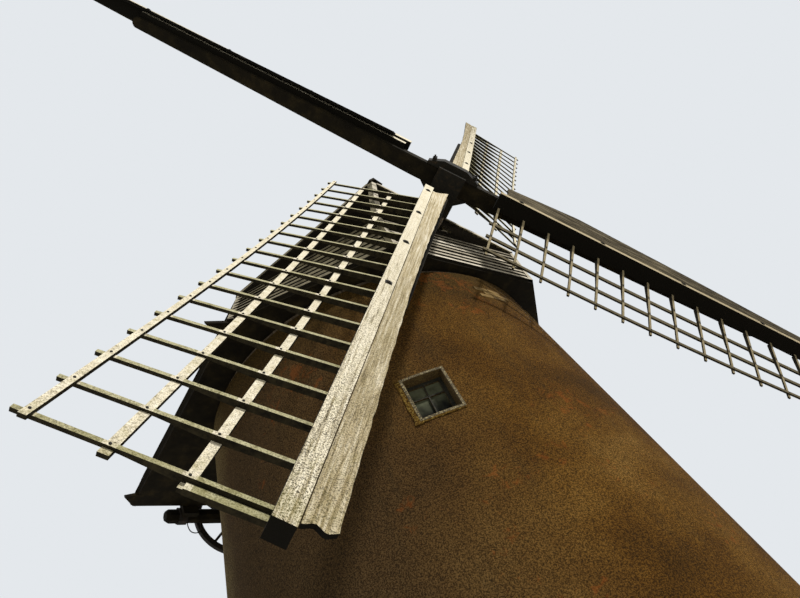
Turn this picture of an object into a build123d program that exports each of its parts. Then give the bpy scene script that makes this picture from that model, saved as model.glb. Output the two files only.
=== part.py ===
"""Traditional windmill: a small tower mill with a boarded cap and four common sails.

Millimetres, +Z up. The origin is the centre of the tower at ground level. The sails face -Y.
"""

import os
from math import atan, cos, pi, radians, sin, tan

from build123d import *

os.makedirs("parts", exist_ok=True)

# Tower wall
base_radius = 3430.0
head_radius = 2393.0
head_height = 7850.0
wall_thickness = 550.0
wall_segments = 6
opening_azimuth = -35.3
opening_sides = 2
seat_gap = 0.3

# Floors and curb
ground_floor_thickness = 100.0
floor_thickness = 150.0
upper_floor_top = 4900.0
curb_outer_radius = 2330.0
curb_inner_radius = 1900.0
curb_height = 100.0

# Windows
window_width = 490.0
window_height = 610.0
window_centre = 5840.0
window_lining = 30.0
window_lining_depth = 260.0
window_lining_proud = 8.0
sash_recess = 175.0
sash_depth = 45.0
sash_stile = 42.0
pane_thickness = 6.0

# Doors
doorway_width = 1000.0
doorway_height = 2150.0
door_frame_width = 80.0
door_frame_depth = 100.0
door_frame_setback = 340.0
door_thickness = 45.0
door_recess = 20.0

# Cap outline
foot_half_width = 2730.0
knee_half_width = 2410.0
nose_half_width = 1200.0
nose_front = 2450.0
foot_shoulder_front = 950.0
knee_shoulder_front = 850.0
cap_rear = 2560.0
knee_rise = 649.7
roof_rise = 2220.0
ridge_front = 1850.0
soffit_thickness = 40.0
cap_wall = 60.0
foot_point_front_reach = 290.0
foot_point_rear_reach = 175.0
foot_point_half = 130.0
foot_point_skew = 65.0

# Ridge and hip boards
ridge_board_leg = 150.0
ridge_board_thickness = 30.0
ridge_board_overhang = 90.0
hip_board_end_gap = 300.0
hip_board_width = 90.0
hip_board_thickness = 22.0

# Cap beams
sheer_centre = 1000.0
sheer_width = 200.0
sheer_height = 220.0
cross_beam_width = 320.0
breast_beam_height = 480.0
tail_beam_height = 210.0
cross_beam_half_length = 1250.0

# Windshaft
hub_forward = 2823.0
hub_rise = 1273.7
shaft_tilt = 9.0
shaft_radius = 180.0
neck_radius = 120.0
tail_radius = 60.0
neck_position = 1035.0
tail_position = 3900.0
journal_length = 300.0
bearing_length = 220.0
bearing_half_width = 230.0
bearing_cover = 90.0
journal_gap = 0.3
shaft_hole_radius = 240.0

# Stocks and poll end
stock_width = 190.0
stock_depth = 250.0
stock_end_depth = 150.0
stock_parallel = 500.0
stock_half_length = 4800.0
stock_chamfer = 45.0
poll_width = 400.0
poll_back_wall = 60.0
poll_fillet_reach = 160.0
poll_fillet_depth = 130.0
clamp_half_length = 380.0
clamp_top_half_length = 170.0
clamp_edge_height = 40.0
clamp_height = 125.0

# Sails
sail_angle = -36.67
sail_count = 4
bar_count = 19
bar_spacing = 380.0
first_bar_radius = 769.0
bar_width = 30.0
bar_root_depth = 90.0
bar_root_depth_at_tip = 38.0
bar_middle_depth = 45.0
bar_end_depth = 24.0
bar_reach = 1486.0
weather_root = 16.79
weather_tip = 4.86
weather_bulge = 16.885
weather_start = 389.0
weather_length = 7220.0
whip_inner_edge = 150.0
whip_outer_edge = 268.0
whip_front = 110.0
whip_tip_front = 85.0
whip_root_back = 131.0
whip_outer_back = 95.0
whip_tip_back = 45.0
whip_start = 700.0
whip_taper_start = 5500.0
whip_end = 7790.0
whip_ledge_edge = 30.0
whip_ledge_start = 760.0
whip_ledge_short_of_stock = 60.0
leading_board_thickness = 30.0
leading_board_edges = (
    (940.0, 45.0),
    (3100.0, 0.0),
    (4400.0, -15.0),
    (5500.0, -9.0),
    (7760.0, 23.0),
)
wide_board_sail = 1
wide_board_edges = (
    (780.0, 30.0),
    (1850.0, 145.0),
    (3680.0, 85.0),
    (5130.0, 10.0),
    (7760.0, 20.0),
)
rail_thickness = 25.0
rail_lap = 5.0
uplong_width = 55.0
uplong_offsets = (659.0, 1030.0)
hemlath_width = 42.0
hemlath_offset = 1406.0
rail_past_bars = 60.0
rail_sections = 6
tip_rail_width = 46.0
tip_rail_depth = 60.0
tip_rail_gap = 48.0

# Winding gear
winding_beam_half_length = 2160.0
winding_beam_point = 50.0
winding_beam_end_across = 130.0
winding_beam_across = 190.0
winding_beam_drop = 45.3
winding_beam_standoff = 95.0
bracket_centre = 1890.0
bracket_width = 230.0
bracket_drop = 85.0
bracket_rise = 429.7
wheel_centre_x = -1110.0
wheel_radius = 594.0
wheel_rim = 90.0
wheel_thickness = 60.0
wheel_gap = 12.0
wheel_hub_radius = 85.0
wheel_hub_extra = 16.0
wheel_spokes = 8
wheel_spoke_width = 34.0
axle_radius = 30.0
axle_gap = 0.05
axle_head_radius = 50.0
axle_head_thickness = 20.0

# Heights that follow from the wall head
cap_base = head_height + curb_height + seat_gap
wall_foot = cap_base + soffit_thickness
knee_height = cap_base + knee_rise
ridge_height = knee_height + roof_rise
hub_height = cap_base + hub_rise
winding_beam_height = cap_base - winding_beam_drop


def outer_radius(height):
    """Radius of the tower's outer face at a height."""
    return base_radius + (head_radius - base_radius) * height / head_height


def inner_radius(height):
    """Radius of the tower's inner face at a height."""
    return outer_radius(height) - wall_thickness


# Tower walls, one segment at a time, anticlockwise from the front left
segment_angle = 360.0 / wall_segments
for index in range(wall_segments):
    middle_angle = opening_azimuth - 90.0 + index * segment_angle
    start = radians(middle_angle - segment_angle / 2)
    start_plane = Plane(
        origin=(0, 0, 0),
        x_dir=(cos(start), sin(start), 0),
        z_dir=(sin(start), -cos(start), 0),
    )
    middle = radians(middle_angle)
    opening_plane = Plane(
        origin=(0, 0, 0),
        x_dir=(-sin(middle), cos(middle), 0),
        z_dir=(cos(middle), sin(middle), 0),
    )
    with BuildPart() as tower_wall:
        with BuildSketch(start_plane):
            Polygon(
                (base_radius - wall_thickness, 0),
                (base_radius, 0),
                (head_radius, head_height),
                (head_radius - wall_thickness, head_height),
                align=None,
            )
        revolve(axis=Axis.Z, revolution_arc=segment_angle)
        if index % (wall_segments // opening_sides) == 0:
            with BuildSketch(opening_plane):
                with Locations((0, doorway_height / 2)):
                    Rectangle(doorway_width, doorway_height)
                with Locations((0, window_centre)):
                    Rectangle(window_width, window_height)
            extrude(amount=base_radius * 2, mode=Mode.SUBTRACT)
    name = "tower_wall_" + str(index + 1)
    tower_wall.part.label = name
    export_step(tower_wall.part, "parts/" + name + ".step")


# Floors, each a disc whose edge follows the inner face of the wall
def floor_disc(bottom, top):
    """A floor between two heights, a seat gap clear of the wall all round."""
    with BuildPart() as disc:
        with BuildSketch(Plane.XZ):
            Polygon(
                (0, bottom),
                (inner_radius(bottom) - seat_gap, bottom),
                (inner_radius(top) - seat_gap, top),
                (0, top),
                align=None,
            )
        revolve(axis=Axis.Z)
    return disc.part


ground_floor = floor_disc(0.0, ground_floor_thickness)
ground_floor.label = "ground_floor"
export_step(ground_floor, "parts/ground_floor.step")

upper_floor = floor_disc(upper_floor_top - floor_thickness, upper_floor_top)
upper_floor.label = "upper_floor"
export_step(upper_floor, "parts/upper_floor.step")

# Curb, the timber ring that the cap turns on
with BuildPart() as curb:
    with BuildSketch(Plane.XY.offset(head_height)):
        Circle(curb_outer_radius)
        Circle(curb_inner_radius, mode=Mode.SUBTRACT)
    extrude(amount=curb_height)
curb.part.label = "curb"
export_step(curb.part, "parts/curb.step")


# Openings on the two sides of the tower
def opening_side(index, distance):
    """Upright plane facing outwards through the middle of an opening side."""
    angle = radians(opening_azimuth - 90.0 + index * 360.0 / opening_sides)
    return Plane(
        origin=(distance * cos(angle), distance * sin(angle), 0),
        x_dir=(-sin(angle), cos(angle), 0),
        z_dir=(cos(angle), sin(angle), 0),
    )


sash_width = window_width - 2 * (window_lining + seat_gap)
sash_height = window_height - 2 * (window_lining + seat_gap)
pane_width = sash_width - 2 * sash_stile
pane_height = sash_height - 2 * sash_stile

# Window linings with their sashes, trimmed to the slope of the wall
with BuildPart() as tower_body:
    with BuildSketch(Plane.XZ):
        Polygon(
            (0, 0),
            (base_radius + window_lining_proud, 0),
            (head_radius + window_lining_proud, head_height),
            (0, head_height),
            align=None,
        )
    revolve(axis=Axis.Z)

face_radius = outer_radius(window_centre)
with BuildPart() as window_frames:
    for index in range(opening_sides):
        with BuildSketch(opening_side(index, face_radius - window_lining_depth)):
            with Locations((0, window_centre)):
                Rectangle(window_width - 2 * seat_gap, window_height - 2 * seat_gap)
                Rectangle(sash_width, sash_height, mode=Mode.SUBTRACT)
        extrude(amount=window_lining_depth * 2)
        with BuildSketch(opening_side(index, face_radius - sash_recess - sash_depth)):
            with Locations((0, window_centre)):
                Rectangle(window_width - window_lining, window_height - window_lining)
                Rectangle(pane_width, pane_height, mode=Mode.SUBTRACT)
        extrude(amount=sash_depth)
    add(tower_body.part, mode=Mode.INTERSECT)
window_frames.part.label = "window_frames"
export_step(window_frames.part, "parts/window_frames.step")

pane_back = face_radius - sash_recess - (sash_depth + pane_thickness) / 2
with BuildPart() as window_glass:
    for index in range(opening_sides):
        with BuildSketch(opening_side(index, pane_back)):
            with Locations((0, window_centre)):
                Rectangle(pane_width - 2 * seat_gap, pane_height - 2 * seat_gap)
        extrude(amount=pane_thickness)
window_glass.part.label = "window_glass"
export_step(window_glass.part, "parts/window_glass.step")

# Door frames with a sill as high as the ground floor, and boarded doors
door_frame_face = base_radius - door_frame_setback
door_width = doorway_width - 2 * door_frame_width
door_top = doorway_height - door_frame_width
door_height = door_top - ground_floor_thickness
door_middle = (door_top + ground_floor_thickness) / 2
with BuildPart() as door_frames:
    for index in range(opening_sides):
        with BuildSketch(opening_side(index, door_frame_face - door_frame_depth)):
            with Locations((0, (doorway_height - seat_gap) / 2)):
                Rectangle(doorway_width - 2 * seat_gap, doorway_height - seat_gap)
            with Locations((0, door_middle)):
                Rectangle(door_width, door_height, mode=Mode.SUBTRACT)
        extrude(amount=door_frame_depth)
door_frames.part.label = "door_frames"
export_step(door_frames.part, "parts/door_frames.step")

with BuildPart() as doors:
    for index in range(opening_sides):
        with BuildSketch(opening_side(index, door_frame_face - door_recess - door_thickness)):
            with Locations((0, door_middle)):
                Rectangle(door_width - 2 * seat_gap, door_height - 2 * seat_gap)
        extrude(amount=door_thickness)
doors.part.label = "doors"
export_step(doors.part, "parts/doors.step")

# Cap outline at the foot and at the knee, anticlockwise from the front left
foot_outline = [
    (-nose_half_width, -nose_front),
    (nose_half_width, -nose_front),
    (foot_half_width, -foot_shoulder_front),
    (foot_half_width, cap_rear),
    (-foot_half_width, cap_rear),
    (-foot_half_width, -foot_shoulder_front),
]
knee_outline = [
    (-nose_half_width, -nose_front),
    (nose_half_width, -nose_front),
    (knee_half_width, -knee_shoulder_front),
    (knee_half_width, cap_rear),
    (-knee_half_width, cap_rear),
    (-knee_half_width, -knee_shoulder_front),
]


def inset(outline, distance):
    """The outline moved inwards by a distance on every side."""
    count = len(outline)
    corners = []
    for number in range(count):
        before = Vector(*outline[number - 1])
        here = Vector(*outline[number])
        after = Vector(*outline[(number + 1) % count])
        arriving = (here - before).normalized()
        leaving = (after - here).normalized()
        normal_in = Vector(-arriving.Y, arriving.X)
        normal_out = Vector(-leaving.Y, leaving.X)
        share = distance / (1 + normal_in.dot(normal_out))
        corner = here + (normal_in + normal_out) * share
        corners.append((corner.X, corner.Y))
    return corners


inner_foot = inset(foot_outline, cap_wall)
inner_knee = []
for number, corner in enumerate(inner_foot):
    shift_x = knee_outline[number][0] - foot_outline[number][0]
    shift_y = knee_outline[number][1] - foot_outline[number][1]
    inner_knee.append((corner[0] + shift_x, corner[1] + shift_y))

# Cap frame: soffit boards with pointed corner feet, sheers and cross beams
shaft_angle = radians(shaft_tilt)
shaft_out = Vector(0, -cos(shaft_angle), sin(shaft_angle))
hub = Vector(0, -hub_forward, hub_height)
neck_centre = hub - shaft_out * neck_position
tail_centre = hub - shaft_out * tail_position
sheer_top = wall_foot + sheer_height
sheer_front = nose_front - cap_wall
sheer_rear = cap_rear - cap_wall
beam_places = ((neck_centre.Y, breast_beam_height), (tail_centre.Y, tail_beam_height))
foot_points = (
    (foot_point_half - foot_shoulder_front, foot_point_front_reach),
    (cap_rear - foot_point_half, foot_point_rear_reach),
)
with BuildPart() as cap_frame:
    with BuildSketch(Plane.XY.offset(cap_base)):
        Polygon(*foot_outline, align=None)
        for side in (-1, 1):
            for foot_y, foot_reach in foot_points:
                Polygon(
                    (side * (foot_half_width - foot_point_half), foot_y - foot_point_half),
                    (side * (foot_half_width - foot_point_half), foot_y + foot_point_half),
                    (side * foot_half_width, foot_y + foot_point_half),
                    (side * (foot_half_width + foot_reach), foot_y - foot_point_skew),
                    (side * foot_half_width, foot_y - foot_point_half),
                    align=None,
                )
        Circle(curb_inner_radius, mode=Mode.SUBTRACT)
    extrude(amount=soffit_thickness)
    with BuildSketch(Plane.XY.offset(wall_foot)):
        with Locations((0, (sheer_rear - sheer_front) / 2)):
            with Locations((-sheer_centre, 0), (sheer_centre, 0)):
                Rectangle(sheer_width, sheer_rear + sheer_front)
    extrude(amount=sheer_height)
    for beam_y, beam_height in beam_places:
        with BuildSketch(Plane.XY.offset(sheer_top)):
            with Locations((0, beam_y)):
                Rectangle(2 * cross_beam_half_length, cross_beam_width)
        extrude(amount=beam_height)
cap_frame.part.label = "cap_frame"
export_step(cap_frame.part, "parts/cap_frame.step")


# Low walls of the cap, each between the foot and the knee, mitred at the corners
def low_wall(number):
    """One low wall, from the corner with this number to the next one."""
    following = (number + 1) % len(foot_outline)
    with BuildPart() as wall:
        with BuildSketch(Plane.XY.offset(wall_foot)):
            Polygon(
                foot_outline[number],
                foot_outline[following],
                inner_foot[following],
                inner_foot[number],
                align=None,
            )
        with BuildSketch(Plane.XY.offset(knee_height)):
            Polygon(
                knee_outline[number],
                knee_outline[following],
                inner_knee[following],
                inner_knee[number],
                align=None,
            )
        loft(ruled=True)
    return wall.part


with BuildPart() as cap_front_wall:
    add(low_wall(0))
cap_front_wall.part.label = "cap_front_wall"
export_step(cap_front_wall.part, "parts/cap_front_wall.step")

with BuildPart() as cap_canted_walls:
    add(low_wall(1))
    add(low_wall(5))
cap_canted_walls.part.label = "cap_canted_walls"
export_step(cap_canted_walls.part, "parts/cap_canted_walls.step")

with BuildPart() as cap_side_walls:
    add(low_wall(2))
    add(low_wall(4))
cap_side_walls.part.label = "cap_side_walls"
export_step(cap_side_walls.part, "parts/cap_side_walls.step")

# Roof facets: each keeps the part of the roof that is nearest to its own outer plane
nose_left = Vector(-nose_half_width, -nose_front, knee_height)
nose_right = Vector(nose_half_width, -nose_front, knee_height)
shoulder_left = Vector(-knee_half_width, -knee_shoulder_front, knee_height)
shoulder_right = Vector(knee_half_width, -knee_shoulder_front, knee_height)
ridge_tip = Vector(0, -ridge_front, ridge_height)
ridge_back = Vector(0, cap_rear, ridge_height)


def outward(first, second, third):
    """Unit normal of the plane through three points."""
    return (second - first).cross(third - first).normalized()


facets = {
    "front": (nose_left, outward(nose_left, nose_right, ridge_tip)),
    "right_canted": (nose_right, outward(nose_right, shoulder_right, ridge_tip)),
    "left_canted": (nose_left, outward(nose_left, ridge_tip, shoulder_left)),
    "right": (shoulder_right, outward(shoulder_right, ridge_back, ridge_tip)),
    "left": (shoulder_left, outward(shoulder_left, ridge_tip, ridge_back)),
    "rear": (ridge_back, Vector(0, 1, 0)),
}


def roof_facet(name):
    """A roof facet of even thickness, mitred against every other facet."""
    point, normal = facets[name]
    block_size = 3 * (cap_rear + nose_front)
    with BuildPart() as facet:
        with BuildSketch(Plane.XY.offset(knee_height)):
            Rectangle(block_size, block_size)
        extrude(amount=block_size)
        split(bisect_by=Plane(origin=point, z_dir=normal), keep=Keep.BOTTOM)
        split(bisect_by=Plane(origin=point - normal * cap_wall, z_dir=normal), keep=Keep.TOP)
        for other, (other_point, other_normal) in facets.items():
            if other != name:
                across = other_normal - normal
                level = other_point.dot(other_normal) - point.dot(normal)
                on_mitre = across * (level / across.dot(across))
                split(bisect_by=Plane(origin=on_mitre, z_dir=across.normalized()), keep=Keep.BOTTOM)
    return facet.part


with BuildPart() as cap_front_roof:
    add(roof_facet("front"))
    with BuildSketch(Plane(origin=neck_centre, x_dir=(1, 0, 0), z_dir=shaft_out)):
        Circle(shaft_hole_radius)
    extrude(amount=neck_position, mode=Mode.SUBTRACT)
cap_front_roof.part.label = "cap_front_roof"
export_step(cap_front_roof.part, "parts/cap_front_roof.step")

for name in ("left_canted", "right_canted", "left", "right"):
    with BuildPart() as cap_roof:
        add(roof_facet(name))
    node = "cap_" + name + "_roof"
    cap_roof.part.label = node
    export_step(cap_roof.part, "parts/" + node + ".step")

with BuildPart() as cap_rear_wall:
    add(low_wall(3))
    add(roof_facet("rear"))
cap_rear_wall.part.label = "cap_rear_wall"
export_step(cap_rear_wall.part, "parts/cap_rear_wall.step")

# Ridge board, folded over the ridge
roof_slope = atan((ridge_height - knee_height) / knee_half_width)
leg_x = ridge_board_leg * cos(roof_slope)
leg_z = ridge_board_leg * sin(roof_slope)
lift_x = ridge_board_thickness * sin(roof_slope)
lift_z = ridge_board_thickness * cos(roof_slope)
with BuildPart() as ridge_board:
    with BuildSketch(Plane.XZ.offset(ridge_front + ridge_board_overhang)):
        Polygon(
            (0, ridge_height),
            (leg_x, ridge_height - leg_z),
            (leg_x + lift_x, ridge_height - leg_z + lift_z),
            (0, ridge_height + ridge_board_thickness / cos(roof_slope)),
            (-leg_x - lift_x, ridge_height - leg_z + lift_z),
            (-leg_x, ridge_height - leg_z),
            align=None,
        )
    extrude(amount=-(ridge_front + cap_rear + 2 * ridge_board_overhang))
ridge_board.part.label = "ridge_board"
export_step(ridge_board.part, "parts/ridge_board.step")

# Hip boards along the front edges of the two long roof facets
with BuildPart() as hip_boards:
    for side, shoulder in ((1, shoulder_right), (-1, shoulder_left)):
        along = (ridge_tip - shoulder).normalized()
        normal = facets["right" if side == 1 else "left"][1]
        length = (ridge_tip - shoulder).length
        hip_length = length - hip_board_end_gap
        with BuildSketch(Plane(origin=shoulder, x_dir=along, z_dir=normal)):
            with Locations((hip_length / 2, -side * hip_board_width / 2)):
                Rectangle(hip_length, hip_board_width)
        extrude(amount=hip_board_thickness)
hip_boards.part.label = "hip_boards"
export_step(hip_boards.part, "parts/hip_boards.step")

# Bearings of the windshaft, a block on each cross beam
bearing_places = (
    (neck_centre, neck_radius, sheer_top + breast_beam_height),
    (tail_centre, tail_radius, sheer_top + tail_beam_height),
)
with BuildPart() as shaft_bearings:
    for centre, radius, foot in bearing_places:
        top = centre.Z + radius + bearing_cover
        with BuildSketch(Plane.XY.offset(foot)):
            with Locations((0, centre.Y)):
                Rectangle(2 * bearing_half_width, bearing_length)
        extrude(amount=top - foot)
        with BuildSketch(Plane(origin=centre, x_dir=(1, 0, 0), z_dir=shaft_out)):
            Circle(radius + journal_gap)
        extrude(amount=bearing_length, both=True, mode=Mode.SUBTRACT)
shaft_bearings.part.label = "shaft_bearings"
export_step(shaft_bearings.part, "parts/shaft_bearings.step")

# Windshaft, turned down to a journal at each bearing
poll_back = stock_depth + poll_back_wall
with BuildPart() as windshaft:
    with BuildSketch(Plane(origin=hub, x_dir=(1, 0, 0), z_dir=(0, -sin(shaft_angle), -cos(shaft_angle)))):
        Polygon(
            (0, -poll_back),
            (shaft_radius, -poll_back),
            (shaft_radius, -neck_position + journal_length / 2),
            (neck_radius, -neck_position + journal_length / 2),
            (neck_radius, -neck_position - journal_length / 2),
            (shaft_radius, -neck_position - journal_length / 2),
            (shaft_radius, -tail_position + journal_length / 2),
            (tail_radius, -tail_position + journal_length / 2),
            (tail_radius, -tail_position - journal_length / 2),
            (0, -tail_position - journal_length / 2),
            align=None,
        )
    revolve(axis=Axis(hub, shaft_out))
windshaft.part.label = "windshaft"
export_step(windshaft.part, "parts/windshaft.step")


# Sail frames: x runs out along the sail, y to its leading side, z out of its front
def sail_plane(number):
    """Place of a sail, the odd ones in front by the depth of a stock."""
    turn = radians(sail_angle + 360.0 / sail_count * number)
    up = Vector(0, sin(shaft_angle), cos(shaft_angle))
    along = Vector(sin(turn), 0, 0) - up * cos(turn)
    forward = stock_depth if number % 2 == 1 else 0.0
    return Plane(origin=hub + shaft_out * forward, x_dir=along, z_dir=shaft_out)


def weather(radius):
    """Angle of the sail surface to its plane of turning, in radians."""
    share = (radius - weather_start) / weather_length
    angle = weather_root + (weather_tip - weather_root) * share + weather_bulge * share * (1 - share)
    return radians(angle)


def bar_plane(radius):
    """Section of a sail: x runs towards the trailing edge, y out of the front."""
    turn = weather(radius)
    return Plane(origin=(radius, 0, 0), x_dir=(0, -cos(turn), -sin(turn)), z_dir=(-1, 0, 0))


# Stocks, tapered at the back, with chamfered ends
with BuildPart() as stock_pattern:
    with BuildSketch(Plane.XZ):
        Polygon(
            (-stock_half_length, -stock_chamfer),
            (-stock_half_length + stock_chamfer, 0),
            (stock_half_length - stock_chamfer, 0),
            (stock_half_length, -stock_chamfer),
            (stock_half_length, -stock_end_depth + stock_chamfer),
            (stock_half_length - stock_chamfer, -stock_end_depth),
            (stock_parallel, -stock_depth),
            (-stock_parallel, -stock_depth),
            (-stock_half_length + stock_chamfer, -stock_end_depth),
            (-stock_half_length, -stock_end_depth + stock_chamfer),
            align=None,
        )
    extrude(amount=stock_width / 2, both=True)

for number, name in ((0, "stock_inner"), (1, "stock_outer")):
    with BuildPart() as stock:
        add(stock_pattern.part.moved(Location(sail_plane(number))))
    stock.part.label = name
    export_step(stock.part, "parts/" + name + ".step")

# Poll end: the iron head of the windshaft, with a mortise for each stock and a clamp in front
fillet_end = poll_width / 2 + poll_fillet_reach
with BuildPart() as poll_pattern:
    with BuildSketch(Plane.XY.offset(-stock_depth - poll_back)):
        Rectangle(poll_width, poll_width)
    extrude(amount=stock_depth + poll_back + clamp_edge_height)
    with BuildSketch(Plane.XZ):
        Polygon(
            (-fillet_end, -stock_depth),
            (fillet_end, -stock_depth),
            (poll_width / 2, -stock_depth - poll_fillet_depth),
            (-poll_width / 2, -stock_depth - poll_fillet_depth),
            align=None,
        )
        Polygon(
            (-clamp_half_length, 0),
            (-clamp_half_length, clamp_edge_height),
            (-clamp_top_half_length, clamp_height),
            (clamp_top_half_length, clamp_height),
            (clamp_half_length, clamp_edge_height),
            (clamp_half_length, 0),
            align=None,
        )
    extrude(amount=stock_width / 2, both=True)
    with BuildSketch(Plane.XY.offset(-stock_depth)):
        Rectangle(2 * poll_width, stock_width)
    extrude(amount=stock_depth, mode=Mode.SUBTRACT)
    with BuildSketch(Plane.XY.offset(-2 * stock_depth)):
        Rectangle(stock_width, 2 * poll_width)
    extrude(amount=stock_depth, mode=Mode.SUBTRACT)
with BuildPart() as poll_end:
    add(poll_pattern.part.moved(Location(sail_plane(1))))
poll_end.part.label = "poll_end"
export_step(poll_end.part, "parts/poll_end.step")


def whip_face(radius):
    """Height of the whip's front, which falls towards the tip."""
    share = max(0.0, (radius - whip_taper_start) / (whip_end - whip_taper_start))
    return whip_front + (whip_tip_front - whip_front) * share


# Whip: the long timber that carries the sail bars, with a ledge that lies on the stock
ledge_end = stock_half_length - whip_ledge_short_of_stock
ledge_top = whip_front - leading_board_thickness
with BuildPart() as whip_pattern:
    with BuildSketch(Plane.XZ.offset(whip_inner_edge)):
        Polygon(
            (whip_start, -whip_root_back),
            (whip_taper_start, -whip_outer_back),
            (whip_end, -whip_tip_back),
            (whip_end, whip_tip_front),
            (whip_taper_start, whip_front),
            (whip_start, whip_front),
            align=None,
        )
    extrude(amount=whip_outer_edge - whip_inner_edge)
    with BuildSketch(Plane.XZ.offset(whip_ledge_edge)):
        Polygon(
            (whip_ledge_start, 0),
            (ledge_end, 0),
            (ledge_end, ledge_top),
            (whip_ledge_start, ledge_top),
            align=None,
        )
    extrude(amount=whip_inner_edge - whip_ledge_edge)


# Leading board: a twisted board from the whip to the leading edge
def leading_board(edges):
    """A board whose leading edge passes the given places: radius and distance from the middle."""
    with BuildPart() as board:
        for radius, edge in edges:
            face = whip_face(radius)
            rise = (edge + whip_inner_edge) * tan(weather(radius))
            with BuildSketch(Plane.YZ.offset(radius)):
                Polygon(
                    (-whip_inner_edge, face - leading_board_thickness),
                    (edge, face - leading_board_thickness + rise),
                    (edge, face + rise),
                    (-whip_inner_edge, face),
                    align=None,
                )
        loft(ruled=True)
    return board.part


# Lattice: tapered bars, two uplongs behind them and a hemlath in front
last_bar_radius = first_bar_radius + bar_spacing * (bar_count - 1)
rail_start = first_bar_radius - rail_past_bars
rail_end = last_bar_radius + rail_past_bars
rails = (
    (uplong_offsets[0], uplong_width, -bar_middle_depth + rail_lap - rail_thickness / 2),
    (uplong_offsets[1], uplong_width, -bar_end_depth + rail_lap - rail_thickness / 2),
    (hemlath_offset, hemlath_width, -rail_lap + rail_thickness / 2),
)
with BuildPart() as lattice_pattern:
    for bar in range(bar_count):
        radius = first_bar_radius + bar * bar_spacing
        root_depth = bar_root_depth + (bar_root_depth_at_tip - bar_root_depth) * bar / (bar_count - 1)
        with BuildSketch(bar_plane(radius)):
            Polygon(
                (whip_inner_edge, 0),
                (whip_inner_edge, -root_depth),
                (whip_outer_edge, -root_depth),
                (uplong_offsets[0] - uplong_width, -bar_middle_depth),
                (uplong_offsets[0] + uplong_width, -bar_middle_depth),
                (uplong_offsets[1] - uplong_width, -bar_end_depth),
                (bar_reach, -bar_end_depth),
                (bar_reach, 0),
                align=None,
            )
        extrude(amount=bar_width / 2, both=True)
    with BuildSketch(bar_plane(last_bar_radius + tip_rail_gap)):
        Polygon(
            (whip_inner_edge, -bar_end_depth),
            (whip_inner_edge, -tip_rail_depth),
            (uplong_offsets[0], -tip_rail_depth),
            (uplong_offsets[0], -bar_end_depth),
            align=None,
        )
    extrude(amount=tip_rail_width / 2, both=True)
    for offset_along, width, depth in rails:
        with BuildPart(mode=Mode.PRIVATE) as rail:
            for section in range(rail_sections):
                radius = rail_start + (rail_end - rail_start) * section / (rail_sections - 1)
                with BuildSketch(bar_plane(radius)):
                    with Locations((offset_along, depth)):
                        Rectangle(width, rail_thickness)
            loft()
        add(rail.part)
    split(bisect_by=Plane(origin=(0, -whip_outer_edge, 0), z_dir=(0, 1, 0)), keep=Keep.BOTTOM)

for number in range(sail_count):
    place = Location(sail_plane(number))
    with BuildPart() as whip:
        add(whip_pattern.part.moved(place))
    whip.part.label = "whip_" + str(number + 1)
    export_step(whip.part, "parts/whip_" + str(number + 1) + ".step")
    with BuildPart() as sail_lattice:
        add(lattice_pattern.part.moved(place))
    sail_lattice.part.label = "sail_lattice_" + str(number + 1)
    export_step(sail_lattice.part, "parts/sail_lattice_" + str(number + 1) + ".step")

with BuildPart() as leading_boards:
    for number in range(sail_count):
        edges = wide_board_edges if number == wide_board_sail else leading_board_edges
        add(leading_board(edges).moved(Location(sail_plane(number))))
leading_boards.part.label = "leading_boards"
export_step(leading_boards.part, "parts/leading_boards.step")

# Winding beam behind the cap: octagonal with pointed ends, and the wheel's axle
beam_y = cap_rear + winding_beam_standoff + winding_beam_across / 2
beam_back = beam_y + winding_beam_across / 2
wheel_front = beam_back + wheel_gap
wheel_back = wheel_front + wheel_thickness
corner_radius = winding_beam_across / 2 / cos(pi / 8)
end_corner_radius = winding_beam_end_across / 2 / cos(pi / 8)
with BuildPart() as winding_beam:
    with BuildSketch(Plane.YZ):
        with Locations((beam_y, winding_beam_height)):
            RegularPolygon(corner_radius, 8, rotation=22.5)
    extrude(amount=winding_beam_half_length, both=True)
    for side in (-1, 1):
        with BuildSketch(Plane.YZ.offset(side * winding_beam_half_length)):
            with Locations((beam_y, winding_beam_height)):
                RegularPolygon(corner_radius, 8, rotation=22.5)
        with BuildSketch(Plane.YZ.offset(side * (winding_beam_half_length + winding_beam_point))):
            with Locations((beam_y, winding_beam_height)):
                RegularPolygon(end_corner_radius, 8, rotation=22.5)
        loft(ruled=True)
    with BuildSketch(Plane.XZ.offset(-beam_y)):
        with Locations((wheel_centre_x, winding_beam_height)):
            Circle(axle_radius)
    extrude(amount=-(wheel_back + 2 * wheel_hub_extra - beam_y))
    with BuildSketch(Plane.XZ.offset(-(wheel_back + 2 * wheel_hub_extra))):
        with Locations((wheel_centre_x, winding_beam_height)):
            Circle(axle_head_radius)
    extrude(amount=-axle_head_thickness)
winding_beam.part.label = "winding_beam"
export_step(winding_beam.part, "parts/winding_beam.step")

# Brackets that hang the winding beam on the rear wall of the cap
bracket_bottom = winding_beam_height - bracket_drop
bracket_top = cap_base + bracket_rise
with BuildPart() as winding_brackets:
    with BuildSketch(Plane.YZ.offset(bracket_centre - bracket_width / 2)):
        Polygon(
            (cap_rear, bracket_bottom),
            (cap_rear + winding_beam_standoff, bracket_bottom),
            (cap_rear + winding_beam_standoff, winding_beam_height + winding_beam_across / 2),
            (cap_rear + winding_beam_standoff / 2, bracket_top),
            (cap_rear, bracket_top),
            align=None,
        )
    extrude(amount=bracket_width)
    mirror(about=Plane.YZ)
winding_brackets.part.label = "winding_brackets"
export_step(winding_brackets.part, "parts/winding_brackets.step")

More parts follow.
